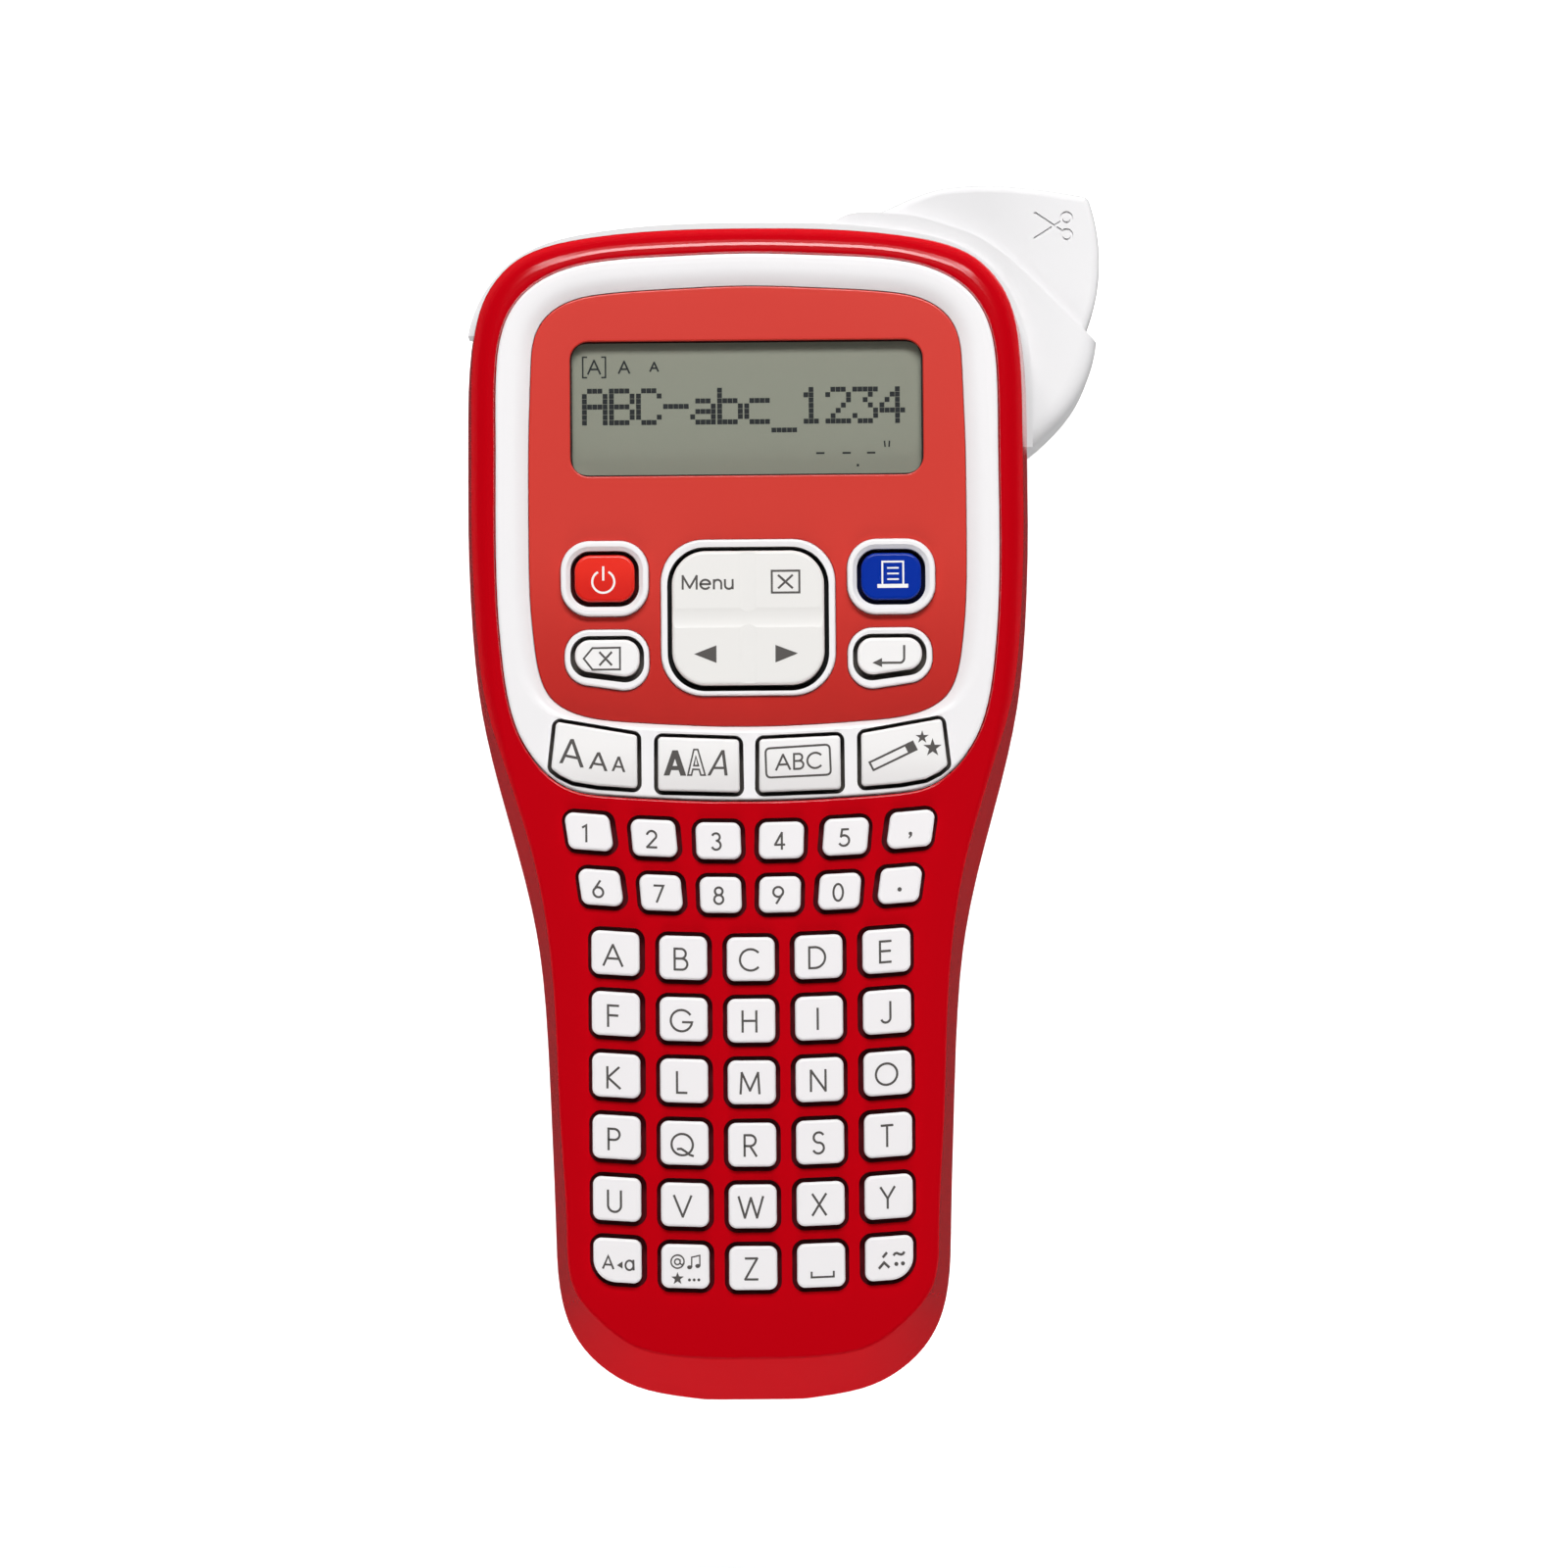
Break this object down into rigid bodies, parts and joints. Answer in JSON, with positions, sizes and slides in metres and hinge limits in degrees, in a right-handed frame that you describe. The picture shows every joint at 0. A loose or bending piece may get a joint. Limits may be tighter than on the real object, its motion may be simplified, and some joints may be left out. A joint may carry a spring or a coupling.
{
  "type": "label maker",
  "caption": "Hand-held label maker with a tapered handle, letter and number keys, a display in a framed panel and a cutter lever at the top corner.",
  "frame": {"origin": "on the flat back that the object lies on, on its plane of symmetry, behind the middle of the display head", "axes": "+Y from the handle to the display head, +Z out of the keypad face, +X to the right of someone reading the keys"},
  "size_m": [0.1083, 0.2073, 0.0565],
  "materials": {
    "shell_red": "gloss",
    "case_white": "satin",
    "frame_white": "satin",
    "panel_red": "satin",
    "lens_clear": "gloss",
    "lcd_glass": "satin",
    "key_white": "satin",
    "key_red": "satin",
    "key_blue": "satin",
    "mat_black": "matte",
    "board_green": "satin",
    "black_plastic": "matte",
    "gear_white": "satin",
    "steel": "satin",
    "aluminium": "satin",
    "contact_metal": "satin",
    "roller_rubber": "matte",
    "cassette_grey": "satin",
    "tape_white": "gloss",
    "cell_sleeve": "satin",
    "ceramic": "gloss"
  },
  "bodies": {
    "case": {"front_shell": "shell_red", "face_frame": "frame_white", "display_panel": "panel_red", "display_lens": "lens_clear", "lcd_module": "lcd_glass", "lcd_holder": "black_plastic", "main_board": "board_green", "keypad_mat": "mat_black", "rear_case": "case_white", "battery_tray": "black_plastic", "batteries": "cell_sleeve", "battery_contacts": "contact_metal", "chassis_plate": "steel", "print_head": "ceramic", "head_heat_sink": "aluminium", "cassette_case": "cassette_grey", "cassette_lid": "cassette_grey", "label_tape": "tape_white", "feed_motor": "steel", "gear_post": "steel", "lever_pin": "steel", "lever_spring": "steel", "cutter_anvil": "black_plastic", "case_screws": "steel", "chassis_screws": "steel"},
    "back_cover": {"back_cover": "case_white"},
    "lever": {"cutter_lever": "case_white", "cutter_blade": "steel"},
    "platen": {"platen_gear": "gear_white", "platen_roller": "roller_rubber", "platen_shaft": "steel"},
    "transfer": {"transfer_gear": "gear_white"},
    "motor_rotor": {"motor_pinion": "gear_white", "motor_shaft": "steel"},
    "ribbon_drive": {"ribbon_gear": "gear_white", "ribbon_spool": "black_plastic"},
    "tape_reel": {"tape_roll": "tape_white", "tape_core": "black_plastic"},
    "nav_rocker": {"nav_rocker": "black_plastic"},
    "nav_pad": {"nav_pad": "key_white"},
    "power_key": {"power_key": "key_red"},
    "print_key": {"print_key": "key_blue"},
    "delete_key": {"delete_key": "key_white"},
    "enter_key": {"enter_key": "key_white"},
    "size_key": {"size_key": "key_white"},
    "style_key": {"style_key": "key_white"},
    "frame_key": {"frame_key": "key_white"},
    "decor_key": {"decor_key": "key_white"},
    "number_row_1_keys": {"number_row_1_keys": "key_white"},
    "number_row_2_keys": {"number_row_2_keys": "key_white"},
    "letter_row_1_keys": {"letter_row_1_keys": "key_white"},
    "letter_row_2_keys": {"letter_row_2_keys": "key_white"},
    "letter_row_3_keys": {"letter_row_3_keys": "key_white"},
    "letter_row_4_keys": {"letter_row_4_keys": "key_white"},
    "letter_row_5_keys": {"letter_row_5_keys": "key_white"},
    "letter_row_6_keys": {"letter_row_6_keys": "key_white"}
  },
  "joints": [
    {"name": "cover_release", "type": "slide", "parent": "case", "child": "back_cover", "axis": [0, 0, -1], "range_m": [0, 0.045]},
    {"name": "cutter_press", "type": "hinge", "parent": "case", "child": "lever", "pos_m": [0.0275, 0.0457, 0.022], "axis": [0, 0, -1], "range_deg": [0, 16], "stiffness_Nm_per_rad": 0.4, "springref_deg": -8.59, "deforming": ["lever_spring"]},
    {"name": "platen_spin", "type": "hinge", "parent": "case", "child": "platen", "pos_m": [0.02412, 0.012, 0.012], "axis": [0, 0, 1], "continuous": true},
    {"name": "transfer_spin", "type": "hinge", "parent": "case", "child": "transfer", "pos_m": [0.03264, 0.00185, 0.026], "axis": [0, 0, 1], "continuous": true},
    {"name": "motor_spin", "type": "hinge", "parent": "case", "child": "motor_rotor", "pos_m": [0.03138, -0.01255, 0.028], "axis": [0, 0, 1], "continuous": true},
    {"name": "ribbon_spin", "type": "hinge", "parent": "case", "child": "ribbon_drive", "pos_m": [0.00787, 0.012, 0.012], "axis": [0, 0, 1], "continuous": true},
    {"name": "reel_spin", "type": "hinge", "parent": "case", "child": "tape_reel", "pos_m": [-0.013, -0.002, 0.012], "axis": [0, 0, 1], "continuous": true},
    {"name": "nav_tip", "type": "hinge", "parent": "case", "child": "nav_rocker", "pos_m": [0, -0.01755, 0.0492], "axis": [1, 0, 0], "range_deg": [-3, 3], "stiffness_Nm_per_rad": 0.2, "deforming": ["keypad_mat"]},
    {"name": "nav_rock", "type": "hinge", "parent": "nav_rocker", "child": "nav_pad", "pos_m": [0, -0.01755, 0.05095], "axis": [0, 1, 0], "range_deg": [-3, 3], "stiffness_Nm_per_rad": 0.2, "deforming": ["keypad_mat"]},
    {"name": "power_press", "type": "slide", "parent": "case", "child": "power_key", "axis": [0, 0, -1], "range_m": [0, 0.0008], "stiffness_N_per_m": 500, "springref_m": -0.0005, "deforming": ["keypad_mat"]},
    {"name": "print_press", "type": "slide", "parent": "case", "child": "print_key", "axis": [0, 0, -1], "range_m": [0, 0.0008], "stiffness_N_per_m": 500, "springref_m": -0.0005, "deforming": ["keypad_mat"]},
    {"name": "delete_press", "type": "slide", "parent": "case", "child": "delete_key", "axis": [0, 0, -1], "range_m": [0, 0.0008], "stiffness_N_per_m": 500, "springref_m": -0.0005, "deforming": ["keypad_mat"]},
    {"name": "enter_press", "type": "slide", "parent": "case", "child": "enter_key", "axis": [0, 0, -1], "range_m": [0, 0.0008], "stiffness_N_per_m": 500, "springref_m": -0.0005, "deforming": ["keypad_mat"]},
    {"name": "size_press", "type": "slide", "parent": "case", "child": "size_key", "axis": [0, 0, -1], "range_m": [0, 0.0008], "stiffness_N_per_m": 500, "springref_m": -0.0005, "deforming": ["keypad_mat"]},
    {"name": "style_press", "type": "slide", "parent": "case", "child": "style_key", "axis": [0, 0, -1], "range_m": [0, 0.0008], "stiffness_N_per_m": 500, "springref_m": -0.0005, "deforming": ["keypad_mat"]},
    {"name": "frame_press", "type": "slide", "parent": "case", "child": "frame_key", "axis": [0, 0, -1], "range_m": [0, 0.0008], "stiffness_N_per_m": 500, "springref_m": -0.0005, "deforming": ["keypad_mat"]},
    {"name": "decor_press", "type": "slide", "parent": "case", "child": "decor_key", "axis": [0, 0, -1], "range_m": [0, 0.0008], "stiffness_N_per_m": 500, "springref_m": -0.0005, "deforming": ["keypad_mat"]},
    {"name": "number_row_1_press", "type": "slide", "parent": "case", "child": "number_row_1_keys", "axis": [0, 0, -1], "range_m": [0, 0.0008], "stiffness_N_per_m": 2500, "springref_m": -0.0005, "deforming": ["keypad_mat"]},
    {"name": "number_row_2_press", "type": "slide", "parent": "case", "child": "number_row_2_keys", "axis": [0, 0, -1], "range_m": [0, 0.0008], "stiffness_N_per_m": 2500, "springref_m": -0.0005, "deforming": ["keypad_mat"]},
    {"name": "letter_row_1_press", "type": "slide", "parent": "case", "child": "letter_row_1_keys", "axis": [0, 0, -1], "range_m": [0, 0.0008], "stiffness_N_per_m": 2500, "springref_m": -0.0005, "deforming": ["keypad_mat"]},
    {"name": "letter_row_2_press", "type": "slide", "parent": "case", "child": "letter_row_2_keys", "axis": [0, 0, -1], "range_m": [0, 0.0008], "stiffness_N_per_m": 2500, "springref_m": -0.0005, "deforming": ["keypad_mat"]},
    {"name": "letter_row_3_press", "type": "slide", "parent": "case", "child": "letter_row_3_keys", "axis": [0, 0, -1], "range_m": [0, 0.0008], "stiffness_N_per_m": 2500, "springref_m": -0.0005, "deforming": ["keypad_mat"]},
    {"name": "letter_row_4_press", "type": "slide", "parent": "case", "child": "letter_row_4_keys", "axis": [0, 0, -1], "range_m": [0, 0.0008], "stiffness_N_per_m": 2500, "springref_m": -0.0005, "deforming": ["keypad_mat"]},
    {"name": "letter_row_5_press", "type": "slide", "parent": "case", "child": "letter_row_5_keys", "axis": [0, 0, -1], "range_m": [0, 0.0008], "stiffness_N_per_m": 2500, "springref_m": -0.0005, "deforming": ["keypad_mat"]},
    {"name": "letter_row_6_press", "type": "slide", "parent": "case", "child": "letter_row_6_keys", "axis": [0, 0, -1], "range_m": [0, 0.0008], "stiffness_N_per_m": 2500, "springref_m": -0.0005, "deforming": ["keypad_mat"]}
  ],
  "couplings": [
    {"joint": "transfer_spin", "follows": "platen_spin", "ratio": -2.1429},
    {"joint": "motor_spin", "follows": "platen_spin", "ratio": 6.4286},
    {"joint": "ribbon_spin", "follows": "platen_spin", "ratio": -1.25},
    {"joint": "reel_spin", "follows": "platen_spin", "ratio": -0.24242}
  ]
}
